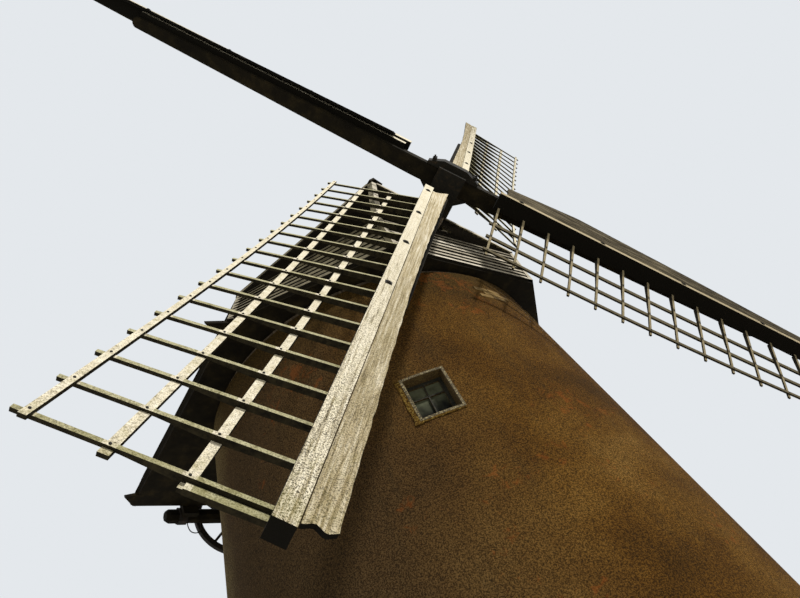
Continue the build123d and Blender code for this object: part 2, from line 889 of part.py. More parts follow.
# Winding wheel, spoked, on the axle behind the beam
with BuildPart() as winding_wheel:
    with BuildSketch(Plane.XZ.offset(-wheel_front)):
        with Locations((wheel_centre_x, winding_beam_height)):
            Circle(wheel_radius)
            Circle(wheel_radius - wheel_rim, mode=Mode.SUBTRACT)
            Circle(wheel_hub_radius)
            with PolarLocations(wheel_radius / 2, wheel_spokes):
                Rectangle(wheel_radius - wheel_rim, wheel_spoke_width)
    extrude(amount=-wheel_thickness)
    with BuildSketch(Plane.XZ.offset(-(wheel_front - wheel_hub_extra / 2))):
        with Locations((wheel_centre_x, winding_beam_height)):
            Circle(wheel_hub_radius)
    extrude(amount=-(wheel_thickness + wheel_hub_extra))
    with BuildSketch(Plane.XZ.offset(-beam_back)):
        with Locations((wheel_centre_x, winding_beam_height)):
            Circle(axle_radius + axle_gap)
    extrude(amount=-2 * wheel_thickness, mode=Mode.SUBTRACT)
winding_wheel.part.label = "winding_wheel"
export_step(winding_wheel.part, "parts/winding_wheel.step")
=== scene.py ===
import random
from math import atan, cos, pi, radians, sin, tan

import bmesh
import bpy
from mathutils import Matrix, Vector


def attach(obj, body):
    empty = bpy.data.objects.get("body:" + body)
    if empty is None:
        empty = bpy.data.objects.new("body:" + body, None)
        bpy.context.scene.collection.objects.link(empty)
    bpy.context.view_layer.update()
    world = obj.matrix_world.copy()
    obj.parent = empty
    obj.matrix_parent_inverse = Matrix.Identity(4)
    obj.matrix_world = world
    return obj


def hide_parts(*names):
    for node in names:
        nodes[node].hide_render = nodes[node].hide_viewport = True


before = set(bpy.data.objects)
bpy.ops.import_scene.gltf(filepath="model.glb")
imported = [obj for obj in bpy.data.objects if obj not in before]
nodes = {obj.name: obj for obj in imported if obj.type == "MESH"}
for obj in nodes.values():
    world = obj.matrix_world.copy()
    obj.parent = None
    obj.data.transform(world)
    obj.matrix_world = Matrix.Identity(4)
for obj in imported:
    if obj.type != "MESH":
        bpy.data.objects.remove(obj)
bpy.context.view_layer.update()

# The mill stands on a plain pale floor and is seen from close by, from the ground, front left.
# The key light comes from high in front, as the sun does in the photograph, over an even pale sky.
scene = bpy.context.scene
scene.view_settings.view_transform = "Standard"

camera_place = (-6.386, -6.154, 1.6)
camera_heading = -52.26
camera_rise = 41.46
camera_roll = -29.37
camera_data = bpy.data.cameras.new("photograph_camera")
camera_data.lens = 33.55
camera_data.sensor_width = 36.0
camera_data.clip_end = 500.0
camera = bpy.data.objects.new("photograph_camera", camera_data)
scene.collection.objects.link(camera)
camera.matrix_world = (
    Matrix.Translation(camera_place)
    @ Matrix.Rotation(radians(camera_heading), 4, "Z")
    @ Matrix.Rotation(radians(90.0 + camera_rise), 4, "X")
    @ Matrix.Rotation(radians(camera_roll), 4, "Z")
)
scene.camera = camera

sun_tilt = 48.0
sun_heading = 12.0
sun_data = bpy.data.lights.new("key_sun", "SUN")
sun_data.energy = 3.0
sun_data.angle = radians(5.0)
sun_data.color = (1.0, 0.95, 0.86)
sun = bpy.data.objects.new("key_sun", sun_data)
scene.collection.objects.link(sun)
sun.rotation_euler = (radians(sun_tilt), 0.0, radians(sun_heading))


def linear(hex_colour):
    """An sRGB hex colour as the linear colour that a shader takes."""
    channels = [int(hex_colour[start:start + 2], 16) / 255 for start in (1, 3, 5)]
    values = [c / 12.92 if c <= 0.04045 else ((c + 0.055) / 1.055) ** 2.4 for c in channels]
    return (values[0], values[1], values[2], 1.0)


def add_node(tree, kind, sockets=None, stops=None, **settings):
    """Adds a shader node. A socket gets a value, or what feeds it: an output, or a node's first one.
    Stops are the colours of a ramp."""
    node = tree.nodes.new(kind)
    for name, value in settings.items():
        setattr(node, name, value)
    for name, value in (sockets or {}).items():
        if isinstance(value, bpy.types.Node):
            value = value.outputs[0]
        if isinstance(value, bpy.types.NodeSocket):
            tree.links.new(value, node.inputs[name])
        else:
            node.inputs[name].default_value = value
    if stops:
        elements = node.color_ramp.elements
        while len(elements) < len(stops):
            elements.new(1.0)
        for element, (place, colour) in zip(elements, stops):
            element.position = place
            element.color = linear(colour)
    return node


world = bpy.data.worlds.new("pale_sky")
scene.world = world
world.use_nodes = True
sky = world.node_tree
sky.nodes.clear()
rays = add_node(sky, "ShaderNodeLightPath")
seen_directly = add_node(sky, "ShaderNodeMath", {
    0: rays.outputs["Is Camera Ray"], 1: rays.outputs["Is Glossy Ray"]}, operation="MAXIMUM")
seen_or_through = add_node(sky, "ShaderNodeMath", {
    0: seen_directly, 1: rays.outputs["Is Transmission Ray"]}, operation="MAXIMUM")
sky_light = add_node(sky, "ShaderNodeBackground", {"Color": linear("#f4eee0"), "Strength": 0.36})
sky_shown = add_node(sky, "ShaderNodeBackground", {"Color": linear("#e4e8ec"), "Strength": 1.0})
sky_mix = add_node(sky, "ShaderNodeMixShader", {0: seen_or_through, 1: sky_light, 2: sky_shown})
add_node(sky, "ShaderNodeOutputWorld", {"Surface": sky_mix})


def new_material(name):
    """A material with an empty node tree, and its object coordinates."""
    material = bpy.data.materials.new(name)
    material.use_nodes = True
    tree = material.node_tree
    tree.nodes.clear()
    place = add_node(tree, "ShaderNodeTexCoord").outputs["Object"]
    return material, tree, place


floor_reach = 60
floor_material, tree, place = new_material("pale_floor")
surface = add_node(tree, "ShaderNodeBsdfPrincipled", {"Base Color": linear("#d9d8d3"), "Roughness": 0.9})
add_node(tree, "ShaderNodeOutputMaterial", {"Surface": surface})
floor_mesh = bpy.data.meshes.new("pale_floor")
floor_corners = [(x * floor_reach, y * floor_reach, 0) for x, y in ((-1, -1), (1, -1), (1, 1), (-1, 1))]
floor_mesh.from_pydata(floor_corners, [], [(0, 1, 2, 3)])
floor_mesh.materials.append(floor_material)
pale_floor = bpy.data.objects.new("pale_floor", floor_mesh)
scene.collection.objects.link(pale_floor)

# Tower wall: rubble masonry, rendered with roughcast, which is lime mortar with grit thrown on wet.
# It is matt and grainy, ochre in front and greyer at the rear, with painted shade making it browner
# on the left and darker under the cap. Rain has streaked it with mould, and orange lichen grows on it,
# least on the left.
grit_size = 0.014
lump_size = 0.1111
stain_size = 1.111
lichen_size = 0.1429
lichen_area = 1.250
streak_width = 0.2747
streak_length = 2.551
roughcast, tree, place = new_material("lime_roughcast")
broad = add_node(tree, "ShaderNodeTexNoise", {
    "Vector": place, "Scale": 1.0 / stain_size, "Detail": 6.0, "Roughness": 0.6})
tint = add_node(tree, "ShaderNodeValToRGB", {"Fac": broad}, stops=(
    (0.28, "#4e3713"), (0.45, "#684a1c"), (0.58, "#795a27"), (0.74, "#8c6e3a")))
# Painted shade: the wall is browner from 1.0 m left of the middle, and darker under the cap from 7.1 m up.
spots = add_node(tree, "ShaderNodeSeparateXYZ", {0: place})
wall_left_shade = add_node(tree, "ShaderNodeMath", {0: spots.outputs["X"], 1: -0.6, 2: -0.6},
                      operation="MULTIPLY_ADD", use_clamp=True)
wall_left_shaded_tint = add_node(tree, "ShaderNodeMixRGB", {
    "Fac": wall_left_shade, "Color1": tint, "Color2": linear("#5d4c35")})
wall_head_shade = add_node(tree, "ShaderNodeMath", {0: spots.outputs["Z"], 1: 0.9, 2: -6.35},
                     operation="MULTIPLY_ADD", use_clamp=True)
wall_head_shaded_tint = add_node(tree, "ShaderNodeMixRGB", {
    "Fac": wall_head_shade, "Color1": wall_left_shaded_tint, "Color2": linear("#4d401d")})
sides = add_node(tree, "ShaderNodeSeparateXYZ", {0: place.node.outputs["Normal"]})
uneven = add_node(tree, "ShaderNodeMath", {0: broad, 1: 1.4, 2: -0.9}, operation="MULTIPLY_ADD")
grey_side = add_node(tree, "ShaderNodeMath", {0: sides.outputs["Y"], 1: 2.2, 2: uneven},
                     operation="MULTIPLY_ADD", use_clamp=True)
weather_tint = add_node(tree, "ShaderNodeMixRGB", {
    "Fac": grey_side, "Color1": wall_head_shaded_tint, "Color2": linear("#a1946c")})
grit = add_node(tree, "ShaderNodeTexNoise", {
    "Vector": place, "Scale": 1.0 / grit_size, "Detail": 4.0, "Roughness": 0.85})
grit_tint = add_node(tree, "ShaderNodeValToRGB", {"Fac": grit}, stops=(
    (0.42, "#1f190d"), (0.50, "#a0937a"), (0.56, "#fffaf0")))
speckled = add_node(tree, "ShaderNodeMixRGB", {
    "Fac": 0.85, "Color1": weather_tint, "Color2": grit_tint}, blend_type="MULTIPLY")
lichen_cells = add_node(tree, "ShaderNodeTexNoise", {
    "Vector": place, "Scale": 1.0 / lichen_size, "Detail": 8.0, "Roughness": 0.75, "Distortion": 0.6})
lichen_areas = add_node(tree, "ShaderNodeTexNoise", {
    "Vector": place, "Scale": 1.0 / lichen_area, "Detail": 2.0})
lichen_sum = add_node(tree, "ShaderNodeMath", {0: lichen_cells, 1: lichen_areas}, operation="MULTIPLY")
lichen_left = add_node(tree, "ShaderNodeMath", {0: wall_left_shade, 1: -0.06, 2: lichen_sum},
                       operation="MULTIPLY_ADD")
lichen_mask = add_node(tree, "ShaderNodeValToRGB", {"Fac": lichen_left}, stops=(
    (0.328, "#000000"), (0.368, "#a6a6a6")))
with_lichen = add_node(tree, "ShaderNodeMixRGB", {
    "Fac": lichen_mask, "Color1": speckled, "Color2": linear("#86481a")})
streak_place = add_node(tree, "ShaderNodeMapping", {
    "Vector": place, "Scale": (1.0 / streak_width, 1.0 / streak_width, 1.0 / streak_length)})
streaks = add_node(tree, "ShaderNodeTexNoise", {
    "Vector": streak_place, "Scale": 1.0, "Detail": 5.0, "Roughness": 0.7})
streak_mask = add_node(tree, "ShaderNodeValToRGB", {"Fac": streaks}, stops=(
    (0.37, "#787878"), (0.46, "#000000"), (0.62, "#000000"), (0.74, "#404040")))
mould = add_node(tree, "ShaderNodeMixRGB", {
    "Fac": 0.75, "Color1": linear("#3b3727"), "Color2": grit_tint}, blend_type="MULTIPLY")
stained = add_node(tree, "ShaderNodeMixRGB", {
    "Fac": streak_mask, "Color1": with_lichen, "Color2": mould})
lumps = add_node(tree, "ShaderNodeTexNoise", {"Vector": place, "Scale": 1.0 / lump_size, "Detail": 4.0})
relief = add_node(tree, "ShaderNodeMixRGB", {"Fac": 0.35, "Color1": grit, "Color2": lumps})
bump = add_node(tree, "ShaderNodeBump", {"Height": relief, "Strength": 0.9, "Distance": grit_size})
surface = add_node(tree, "ShaderNodeBsdfPrincipled", {
    "Base Color": stained, "Roughness": 0.95, "Specular IOR Level": 0.1, "Normal": bump})
add_node(tree, "ShaderNodeOutputMaterial", {"Surface": surface})


def dress(material, *names):
    """Gives a material to solids of the frame."""
    for name in names:
        nodes[name].material_slots[0].material = material


dress(roughcast, *["tower_wall_" + str(number) for number in range(1, 7)])

# Brick courses show near the wall head, where the roughcast has come off in panels.
# They are hand-made bricks, matt and unevenly burnt from brown to buff, bedded in lime mortar.
wall_foot_radius = 3.430
wall_head_radius = 2.393
wall_head_height = 7.850


def wall_radius(height):
    """Radius of the tower's outer face at a height."""
    return wall_foot_radius + (wall_head_radius - wall_foot_radius) * height / wall_head_height


def add_block(bm, place, size, jitter=0.0, chance=None):
    """Adds a block of the given size to a mesh, at a matrix, with its corners moved a little."""
    made = bmesh.ops.create_cube(bm, size=1.0, matrix=place @ Matrix.Diagonal((*size, 1.0)))
    if jitter:
        for vertex in made["verts"]:
            vertex.co += Vector([chance.uniform(-jitter, jitter) for axis in range(3)])


def make_piece(bm, name, material, body):
    """Turns a mesh under construction into a piece of the mill that rides on a body."""
    mesh = bpy.data.meshes.new(name)
    bmesh.ops.recalc_face_normals(bm, faces=bm.faces)
    bm.to_mesh(mesh)
    bm.free()
    mesh.materials.append(material)
    piece = bpy.data.objects.new(name, mesh)
    scene.collection.objects.link(piece)
    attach(piece, body)
    return piece


def round_tower(azimuth, height, proud):
    """A place on the tower's face: x along it, y up it and z out of it. Azimuth is right of the front."""
    angle = radians(azimuth - 90.0)
    radius = wall_radius(height) + proud
    outwards = Vector((cos(angle), sin(angle), (wall_foot_radius - wall_head_radius) / wall_head_height))
    outwards.normalize()
    along = Vector((-sin(angle), cos(angle), 0.0))
    up = outwards.cross(along)
    matrix = Matrix((along, up, outwards)).transposed().to_4x4()
    matrix.translation = (radius * cos(angle), radius * sin(angle), height)
    return matrix


def mottled_material(name, grain, noise, stops, bump, shader):
    """A material whose colour and relief follow one noise, of the given size along x, y and z."""
    material, tree, place = new_material(name)
    sized = add_node(tree, "ShaderNodeMapping", {"Vector": place, "Scale": [1.0 / size for size in grain]})
    mottle = add_node(tree, "ShaderNodeTexNoise", {"Vector": sized, "Scale": 1.0, **noise})
    tint = add_node(tree, "ShaderNodeValToRGB", {"Fac": mottle}, stops=stops)
    relief = add_node(tree, "ShaderNodeBump", {"Height": mottle, **bump})
    surface = add_node(tree, "ShaderNodeBsdfPrincipled", {"Base Color": tint, "Normal": relief, **shader})
    add_node(tree, "ShaderNodeOutputMaterial", {"Surface": surface})
    return material


brick_clay = mottled_material(
    "hand_made_brick", grain=(0.200,) * 3, noise={"Detail": 5.0},
    stops=((0.35, "#5a4520"), (0.5, "#755d2e"), (0.65, "#8f7747")),
    bump={"Strength": 0.6, "Distance": 0.006}, shader={"Roughness": 0.93})
brick_length = 0.215
brick_height = 0.065
brick_depth = 0.040
brick_joint = 0.010
brick_recess = 0.012
first_course_height = 7.365
panel_count = 8
first_panel_azimuth = -1.0
panel_turn = 26.0
courses_shown = 3
bricks_shown = 2
brick_chance = random.Random(4)
bricks = bmesh.new()
for panel in range(panel_count):
    panel_start = first_panel_azimuth + panel * panel_turn
    for course in range(courses_shown):
        course_height = first_course_height + course * (brick_height + brick_joint)
        step = (brick_length + brick_joint) / wall_radius(course_height) * 180 / pi
        for brick in range(bricks_shown):
            azimuth = panel_start + (brick + 0.5 * (course % 2)) * step
            spot = round_tower(azimuth, course_height, -brick_recess)
            add_block(bricks, spot, (brick_length, brick_height, brick_depth), 0.004, brick_chance)
make_piece(bricks, "brick_courses", brick_clay, "tower")


# Windows: small painted timber casements deep in the wall, each with one upright and one cross bar.
# The front edges still hold flakes of pale paint. The cheeks of each opening are dark brown with painted
# shade, and the sash and all else deep in it are dark with dirt and painted shade. The old panes are
# near black, painted shade of the dark inside, and lighter grey green in patches towards their top.
opening_azimuth = -35.3
opening_turn = radians(opening_azimuth - 90.0)
opening_out = Vector((cos(opening_turn), sin(opening_turn), 0.0))
frame_front = 2.57
flake_size = 0.01818
window_timber, tree, place = new_material("worn_window_paint")
window_wear = add_node(tree, "ShaderNodeTexNoise", {
    "Vector": place, "Scale": 1.0 / flake_size, "Detail": 5.0, "Roughness": 0.75})
window_paint = add_node(tree, "ShaderNodeValToRGB", {"Fac": window_wear}, stops=(
    (0.45, "#2f2613"), (0.54, "#6a5d3b"), (0.64, "#b3a985")))
# Painted shade: faces that lie deeper than the frame's front take the dark sash colour, and the cheeks a
# dark brown.
sash_dirt_and_shade = add_node(tree, "ShaderNodeValToRGB", {"Fac": window_wear}, stops=(
    (0.38, "#14130c"), (0.50, "#242318"), (0.66, "#3d3c2e")))
cheek_painted_shade = add_node(tree, "ShaderNodeValToRGB", {"Fac": window_wear}, stops=(
    (0.36, "#2a2110"), (0.50, "#55421f"), (0.64, "#75653a")))
window_facing = add_node(tree, "ShaderNodeVectorMath", {
    0: place.node.outputs["Normal"], 1: opening_out}, operation="DOT_PRODUCT")
window_flat = add_node(tree, "ShaderNodeMath", {0: window_facing.outputs["Value"]}, operation="ABSOLUTE")
window_front = add_node(tree, "ShaderNodeMath", {0: window_flat, 1: 0.8}, operation="GREATER_THAN")
window_reach = add_node(tree, "ShaderNodeVectorMath", {0: place, 1: opening_out}, operation="DOT_PRODUCT")
window_depth = add_node(tree, "ShaderNodeMath", {0: window_reach.outputs["Value"]}, operation="ABSOLUTE")
window_outer = add_node(tree, "ShaderNodeMath", {0: window_depth, 1: frame_front},
                        operation="GREATER_THAN")
window_flats = add_node(tree, "ShaderNodeMixRGB", {
    "Fac": window_outer, "Color1": sash_dirt_and_shade, "Color2": window_paint})
window_tint = add_node(tree, "ShaderNodeMixRGB", {
    "Fac": window_front, "Color1": cheek_painted_shade, "Color2": window_flats})
bump = add_node(tree, "ShaderNodeBump", {"Height": window_wear, "Strength": 0.4, "Distance": 0.003})
surface = add_node(tree, "ShaderNodeBsdfPrincipled", {
    "Base Color": window_tint, "Roughness": 0.8, "Normal": bump})
add_node(tree, "ShaderNodeOutputMaterial", {"Surface": surface})
dress(window_timber, "window_frames")

pane_mottle_size = 0.0909
old_glass, tree, place = new_material("dark_old_glass")
# The panes are near black: painted shade of the dark inside. From 5.66 m up they grow lighter grey green in
# patches.
spots = add_node(tree, "ShaderNodeSeparateXYZ", {0: place})
lighter_upward = add_node(tree, "ShaderNodeMath", {0: spots.outputs["Z"], 1: 1.9, 2: -10.75},
                     operation="MULTIPLY_ADD", use_clamp=True)
pane_mottle = add_node(tree, "ShaderNodeTexNoise", {"Vector": place, "Scale": 1.0 / pane_mottle_size, "Detail": 5.0})
upper_mottle = add_node(tree, "ShaderNodeMath", {0: pane_mottle, 1: lighter_upward}, operation="MULTIPLY")
pane_tint = add_node(tree, "ShaderNodeValToRGB", {"Fac": upper_mottle}, stops=(
    (0.06, "#080806"), (0.34, "#666b58")))
surface = add_node(tree, "ShaderNodeBsdfPrincipled", {
    "Base Color": pane_tint, "Roughness": 0.35, "Specular IOR Level": 0.08})
add_node(tree, "ShaderNodeOutputMaterial", {"Surface": surface})
dress(old_glass, "window_glass")

window_height = 5.840
sash_recess = 0.175
bar_size = 0.014
bar_depth = 0.030
bar_set_back = 0.012
cross_bar_rise = 0.085
pane_width = 0.345
pane_height = 0.465
window_bars = bmesh.new()
for side in (0.0, 180.0):
    angle = opening_turn + radians(side)
    distance = wall_radius(window_height) - sash_recess - bar_set_back
    middle = Matrix.Rotation(angle + pi / 2, 4, "Z")
    middle.translation = (distance * cos(angle), distance * sin(angle), window_height)
    add_block(window_bars, middle, (bar_size, bar_depth, pane_height))
    cross = middle @ Matrix.Translation((0.0, 0.0, cross_bar_rise))
    add_block(window_bars, cross, (pane_width, bar_depth, bar_size))
make_piece(window_bars, "window_bars", window_timber, "tower")

# A rough lip of mortar stands round the left side and the sill of each window, left from a repair.
# It is matt and brown like the wall, and speckled with yellow moss.
mossy_mortar = mottled_material(
    "mossy_mortar", grain=(0.02083,) * 3, noise={"Detail": 4.0, "Roughness": 0.8},
    stops=((0.40, "#241a09"), (0.50, "#5c4216"), (0.58, "#75602a"), (0.68, "#a3965c")),
    bump={"Strength": 0.9, "Distance": 0.012}, shader={"Roughness": 0.95, "Specular IOR Level": 0.1})
window_half_width = 0.245
window_half_height = 0.305
lip_width = 0.052
lip_length = 0.090
lip_thickness = 0.014
lip_overlap = 1.05
sill_drop = 0.015
sill_height = 0.024
sill_thickness = 0.018
side_lumps = 7
sill_lumps = 6
lip_chance = random.Random(7)
window_lips = bmesh.new()


def beside_window(side, across, height):
    """A place on the wall's face, so far to the right of a window's middle line."""
    return round_tower(opening_azimuth + side + across / wall_radius(height) * 180 / pi, height, 0.001)


for side in (0.0, 180.0):
    for lump in range(side_lumps):
        height = window_height - window_half_height + (lump + 0.4) * lip_length
        spot = beside_window(side, -(window_half_width + lip_width / 2 + 0.002), height)
        size = (lip_width + lip_chance.uniform(-0.008, 0.010), lip_length * lip_overlap, lip_thickness)
        add_block(window_lips, spot, size, 0.004, lip_chance)
    for lump in range(sill_lumps):
        spot = beside_window(side, (lump - 2.9) * lip_length, window_height - window_half_height - sill_drop)
        size = (lip_length * lip_overlap, sill_height + lip_chance.uniform(-0.006, 0.006), sill_thickness)
        add_block(window_lips, spot, size, 0.003, lip_chance)
make_piece(window_lips, "window_lips", mossy_mortar, "tower")

# Doors: upright oak boards in oak frames, hung on long iron straps, with a round iron knob.
# The photograph doesn't show them. The oak is matt and silver brown, with its grain raised by the
# weather, and the iron is dull black with a little rust.
oak = mottled_material(
    "weathered_oak", grain=(0.03704, 0.03704, 0.3704), noise={"Detail": 8.0, "Roughness": 0.7},
    stops=((0.30, "#2e2519"), (0.48, "#54483a"), (0.66, "#7a6d5a")),
    bump={"Strength": 0.5, "Distance": 0.004}, shader={"Roughness": 0.85})
dress(oak, "door_frames", "doors", "curb", "shaft_bearings", "windshaft")
black_iron = mottled_material(
    "blackened_cast_iron", grain=(0.0625,) * 3, noise={"Detail": 7.0},
    stops=((0.35, "#0f0e0a"), (0.55, "#1a1710"), (0.72, "#2e2418")),
    bump={"Strength": 0.4, "Distance": 0.003}, shader={"Roughness": 0.7, "Specular IOR Level": 0.2})
dress(black_iron, "poll_end")

door_face = 3.070
door_width = 0.840
door_bottom = 0.100
door_top = 2.070
door_board_count = 7
door_board_size = (0.114, 0.016, door_top - door_bottom - 0.012)
door_board_front = -0.006
strap_size = (0.62, 0.008, 0.05)
strap_middle = -0.06
strap_front = -0.017
strap_heights = (0.45, 1.70)
knob_place = (0.30, -0.02, 1.05)
knob_radius = 0.050
knob_depth = 0.014
door_chance = random.Random(9)
door_boards = bmesh.new()
door_iron = bmesh.new()
for side in (0.0, 180.0):
    angle = radians(opening_azimuth + side - 90.0)
    turn = Matrix.Rotation(angle + pi / 2, 4, "Z")
    turn.translation = (door_face * cos(angle), door_face * sin(angle), 0.0)
    for board in range(door_board_count):
        across = (board + 0.5) * door_width / door_board_count - door_width / 2
        spot = turn @ Matrix.Translation((across, door_board_front, (door_bottom + door_top) / 2))
        add_block(door_boards, spot, door_board_size, 0.0015, door_chance)
    for strap_height in strap_heights:
        spot = turn @ Matrix.Translation((strap_middle, strap_front, strap_height))
        add_block(door_iron, spot, strap_size, 0.001, door_chance)
    bmesh.ops.create_cone(
        door_iron, cap_ends=True, segments=20, radius1=knob_radius, radius2=knob_radius * 0.9,
        depth=knob_depth, matrix=turn @ Matrix.Translation(knob_place) @ Matrix.Rotation(pi / 2, 4, "X"))
make_piece(door_boards, "door_boards", oak, "tower")
make_piece(door_iron, "door_iron", black_iron, "tower")


# Floors: stone flags on the ground, and wide deal boards above, worn and dusty.
# Both are matt. The flags are grey with dark joints, and the boards brown with black gaps.
for name, finish, laying, roughness in (
        ("ground_floor", "worn_stone_flags", {
            "Color1": linear("#6e6a60"), "Color2": linear("#7f7a6e"), "Mortar": linear("#3a372f"),
            "Mortar Size": 0.012, "Brick Width": 0.75, "Row Height": 0.50}, 0.85),
        ("upper_floor", "worn_deal_boards", {
            "Color1": linear("#6d5538"), "Color2": linear("#5c472d"), "Mortar": linear("#20180f"),
            "Mortar Size": 0.005, "Brick Width": 3.00, "Row Height": 0.18}, 0.8)):
    floor_finish, tree, place = new_material(finish)
    laid = add_node(tree, "ShaderNodeTexBrick", {"Vector": place, "Scale": 1.0, **laying})
    surface = add_node(tree, "ShaderNodeBsdfPrincipled", {"Base Color": laid, "Roughness": roughness})
    add_node(tree, "ShaderNodeOutputMaterial", {"Surface": surface})
    dress(floor_finish, name)

# Cap frame: pine beams and close boards under the cap, near black with tar and with painted shade.
# The same tarred, shaded timber makes the stocks, the ridge board and the beam behind the cap.
tarred_and_shaded_pine = mottled_material(
    "tarred_and_shaded_pine", grain=(0.250,) * 3, noise={"Detail": 8.0, "Roughness": 0.65},
    stops=((0.35, "#0f0c07"), (0.52, "#1a160d"), (0.70, "#2e2717")),
    bump={"Strength": 0.5, "Distance": 0.005}, shader={"Roughness": 0.85, "Specular IOR Level": 0.12})
dress(tarred_and_shaded_pine, "cap_frame", "ridge_board", "winding_beam", "winding_brackets", "stock_inner",
      "stock_outer")

# Cap boards: lapped weatherboards of unpainted softwood, nailed on, each showing about 80 mm.
# They have gone silver grey and matt, and each board has its own tone. Facets that face left are
# darker and greener, and faces that look down are near black, both painted shade.
grain_size = 0.0833
silver_boards, tree, place = new_material("silvered_weatherboard")
board_tone = add_node(tree, "ShaderNodeAttribute", attribute_name="board_tone")
board_tint = add_node(tree, "ShaderNodeValToRGB", {"Fac": board_tone.outputs["Fac"]}, stops=(
    (0.0, "#8f8878"), (0.45, "#c2baa9"), (1.0, "#ece6d8")))
board_grain = add_node(tree, "ShaderNodeTexNoise", {
    "Vector": place, "Scale": 1.0 / grain_size, "Detail": 8.0, "Roughness": 0.75})
board_shade = add_node(tree, "ShaderNodeValToRGB", {"Fac": board_grain}, stops=(
    (0.30, "#6a6a6a"), (0.55, "#ffffff")))
board_colour = add_node(tree, "ShaderNodeMixRGB", {
    "Fac": 0.6, "Color1": board_tint, "Color2": board_shade}, blend_type="MULTIPLY")
sides = add_node(tree, "ShaderNodeSeparateXYZ", {0: place.node.outputs["Normal"]})
# Painted shade: facets whose faces turn left are darkened to a grey green.
board_left_shade = add_node(tree, "ShaderNodeMath", {0: sides.outputs["X"], 1: -2.0, 2: -0.5},
                      operation="MULTIPLY_ADD", use_clamp=True)
left_shade_tint = add_node(tree, "ShaderNodeMixRGB", {
    "Fac": board_left_shade, "Color1": linear("#ffffff"), "Color2": linear("#7f7c68")})
left_shaded_boards = add_node(tree, "ShaderNodeMixRGB", {
    "Fac": 1.0, "Color1": board_colour, "Color2": left_shade_tint}, blend_type="MULTIPLY")
# Painted shade: faces that look down, the boards' lower edges, are near black.
board_underside_shade = add_node(tree, "ShaderNodeMath", {0: sides.outputs["Z"], 1: -0.5}, operation="LESS_THAN")
undersides_shaded = add_node(tree, "ShaderNodeMixRGB", {
    "Fac": board_underside_shade, "Color1": left_shaded_boards, "Color2": linear("#17130c")})
bump = add_node(tree, "ShaderNodeBump", {"Height": board_grain, "Strength": 0.4, "Distance": 0.003})
surface = add_node(tree, "ShaderNodeBsdfPrincipled", {
    "Base Color": undersides_shaded, "Roughness": 0.9, "Specular IOR Level": 0.2, "Normal": bump})
add_node(tree, "ShaderNodeOutputMaterial", {"Surface": surface})

board_exposure = 0.078
board_lap = 0.020
board_thick_edge = 0.033
board_thin_edge = 0.006
board_overhang = 0.010
board_seat = 0.002
cap_foot = 7.990
cap_knee = 8.600
ridge_height = 10.820
nose_half_width = 1.200
nose_front = -2.450
cap_rear = 2.560
nose_left_foot = Vector((-nose_half_width, nose_front, cap_foot))
nose_left = Vector((-nose_half_width, nose_front, cap_knee))
shoulder_left_foot = Vector((-2.730, -0.950, cap_foot))
shoulder_left = Vector((-2.410, -0.850, cap_knee))
rear_left_foot = Vector((-2.730, cap_rear, cap_foot))
rear_left = Vector((-2.410, cap_rear, cap_knee))
ridge_tip = Vector((0.0, -1.850, ridge_height))
ridge_back = Vector((0.0, cap_rear, ridge_height))


def other_side(point):
    """The same point on the right-hand side of the cap."""
    return Vector((-point.x, point.y, point.z))


def lay_boards(bm, tones, left_foot, right_foot, right_top, left_top, chance, top_share):
    """Lays lapped boards up a facet, from its foot to a share of its height."""
    height = ((left_top + right_top) / 2 - (left_foot + right_foot) / 2).length
    rows = max(1, round(height * top_share / board_exposure))
    for row in range(rows):
        low = row / rows * top_share
        high = min((row + 1) / rows * top_share + board_lap / height, 1.0)
        low_left = left_foot.lerp(left_top, low)
        low_right = right_foot.lerp(right_top, low)
        high_left = left_foot.lerp(left_top, high)
        high_right = right_foot.lerp(right_top, high)
        normal = (low_right - low_left).cross(high_left - low_right).normalized()
        thick = normal * (board_thick_edge + chance.uniform(-0.003, 0.004))
        thin = normal * board_thin_edge
        reach = (low_right - low_left).normalized() * (board_overhang + chance.uniform(0.0, 0.008))
        corners = [low_left - reach, low_right + reach, high_right + reach, high_left - reach]
        back = [bm.verts.new(corner - normal * board_seat) for corner in corners]
        front = [bm.verts.new(corner + lift) for corner, lift in zip(corners, (thick, thick, thin, thin))]
        bm.faces.new(front)
        bm.faces.new(back[::-1])
        for side in range(4):
            following = (side + 1) % 4
            bm.faces.new((back[side], back[following], front[following], front[side]))
        tones.extend([chance.uniform(0.0, 1.0)] * 8)


def boarded_piece(bm, name, tones):
    """Turns boards into a piece of the cap, with a tone stored at each of their points."""
    piece = make_piece(bm, name, silver_boards, "cap")
    piece.data.attributes.new("board_tone", "FLOAT", "POINT").data.foreach_set("value", tones)


def boarded_facet(name, corners, seed, top_share):
    """Makes the boards of one facet. Its corners are left foot, right foot, right top and left top."""
    bm = bmesh.new()
    tones = []
    lay_boards(bm, tones, *corners, random.Random(seed), top_share)
    boarded_piece(bm, name, tones)


